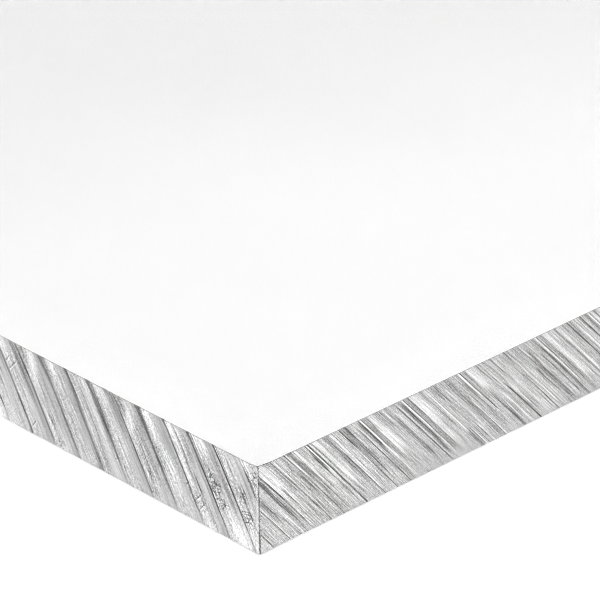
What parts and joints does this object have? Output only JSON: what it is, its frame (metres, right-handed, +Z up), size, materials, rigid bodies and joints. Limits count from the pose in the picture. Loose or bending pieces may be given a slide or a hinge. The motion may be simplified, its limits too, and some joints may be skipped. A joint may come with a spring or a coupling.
{
  "type": "polycarbonate sheet",
  "caption": "Square of thick clear solid polycarbonate sheet with flat glossy faces and saw-cut edges, for glazing, guards and machining blanks.",
  "frame": {"origin": "middle of the underside, on the surface that the sheet lies on", "axes": "+Z up through the thickness, +X along the front edge, +Y from the front edge to the back edge"},
  "size_m": [0.3048, 0.3048, 0.0127],
  "materials": {
    "clear_polycarbonate": "clear, glossy faces with frosted saw-cut edges"
  },
  "bodies": {
    "root": {"polycarbonate_sheet": "clear_polycarbonate"}
  },
  "joints": []
}
